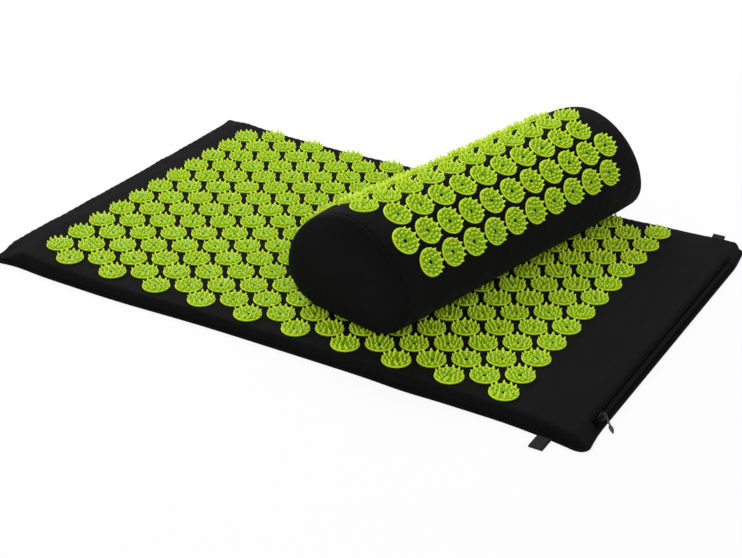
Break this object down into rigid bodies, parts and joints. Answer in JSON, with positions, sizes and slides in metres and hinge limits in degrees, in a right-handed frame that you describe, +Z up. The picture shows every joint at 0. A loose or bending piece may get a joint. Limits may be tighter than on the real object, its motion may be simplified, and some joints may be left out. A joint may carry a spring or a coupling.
{
  "type": "acupressure mat with neck pillow",
  "caption": "Foam mat in a zipped black cotton cover, set with rows of spiked green plastic discs, with a matching domed neck pillow lying across it.",
  "frame": {"origin": "centre of the mat's underside, on the surface that the mat lies on", "axes": "+X along the mat's long side towards the end with the zip, +Y along its short side away from the slider, +Z up through the discs"},
  "size_m": [0.6319, 0.4467, 0.1219],
  "materials": {
    "black_cotton": "matte",
    "black_webbing": "matte",
    "lime_plastic": "gloss",
    "white_foam": "matte",
    "zip_tape": "matte",
    "zip_nylon": "satin",
    "zip_metal": "satin",
    "pull_tab_rubber": "satin"
  },
  "bodies": {
    "mat": {"mat_bottom_panel": "black_cotton", "mat_top_panel": "black_cotton", "mat_foam_core": "white_foam", "mat_disc_row_01": "lime_plastic", "mat_disc_row_02": "lime_plastic", "mat_disc_row_03": "lime_plastic", "mat_disc_row_04": "lime_plastic", "mat_disc_row_05": "lime_plastic", "mat_disc_row_06": "lime_plastic", "mat_disc_row_07": "lime_plastic", "mat_disc_row_08": "lime_plastic", "mat_disc_row_09": "lime_plastic", "mat_disc_row_10": "lime_plastic", "mat_disc_row_11": "lime_plastic", "mat_disc_row_12": "lime_plastic", "mat_disc_row_13": "lime_plastic", "mat_disc_row_14": "lime_plastic", "mat_disc_row_15": "lime_plastic", "mat_disc_row_16": "lime_plastic", "mat_disc_row_17": "lime_plastic", "mat_disc_row_18": "lime_plastic", "mat_disc_row_19": "lime_plastic", "mat_disc_row_20": "lime_plastic", "mat_zip_tape_upper": "zip_tape", "mat_zip_tape_lower": "zip_tape", "mat_zip_chain": "zip_nylon", "mat_zip_stop_closed": "zip_metal", "mat_zip_stop_open": "zip_metal", "mat_webbing_tab_front": "black_webbing", "mat_webbing_tab_back": "black_webbing"},
    "mat_slider": {"mat_zip_slider": "zip_metal"},
    "mat_pull_tab": {"mat_zip_pull_tab": "pull_tab_rubber"},
    "pillow": {"pillow_top_panel": "black_cotton", "pillow_bottom_panel": "black_cotton", "pillow_end_panel_near": "black_cotton", "pillow_end_panel_far": "black_cotton", "pillow_foam_core": "white_foam", "pillow_disc_row_01": "lime_plastic", "pillow_disc_row_02": "lime_plastic", "pillow_disc_row_03": "lime_plastic", "pillow_disc_row_04": "lime_plastic", "pillow_disc_row_05": "lime_plastic", "pillow_disc_row_06": "lime_plastic", "pillow_disc_row_07": "lime_plastic", "pillow_zip_tape_upper": "zip_tape", "pillow_zip_tape_lower": "zip_tape", "pillow_zip_chain": "zip_nylon", "pillow_zip_stop_closed": "zip_metal", "pillow_zip_stop_open": "zip_metal"},
    "pillow_slider": {"pillow_zip_slider": "zip_metal"},
    "pillow_pull_tab": {"pillow_zip_pull_tab": "pull_tab_rubber"}
  },
  "joints": [
    {"name": "mat_zip_slide", "type": "slide", "parent": "mat", "child": "mat_slider", "axis": [0, 1, 0], "range_m": [0, 0.318]},
    {"name": "mat_pull_tab_hinge", "type": "hinge", "parent": "mat_slider", "child": "mat_pull_tab", "pos_m": [0.30926, -0.15925, 0.0097], "axis": [0, -1, 0], "range_deg": [0, 160]},
    {"name": "pillow_lift", "type": "slide", "parent": "mat", "child": "pillow", "axis": [0, 0, 1], "range_m": [0, 0.12]},
    {"name": "pillow_zip_slide", "type": "slide", "parent": "pillow", "child": "pillow_slider", "axis": [-0.205, -0.9788, 0], "range_m": [0, 0.29]},
    {"name": "pillow_pull_tab_hinge", "type": "hinge", "parent": "pillow_slider", "child": "pillow_pull_tab", "pos_m": [0.05095, 0.18747, 0.03698], "axis": [0.205, 0.9788, 0], "range_deg": [-15, 150]}
  ]
}
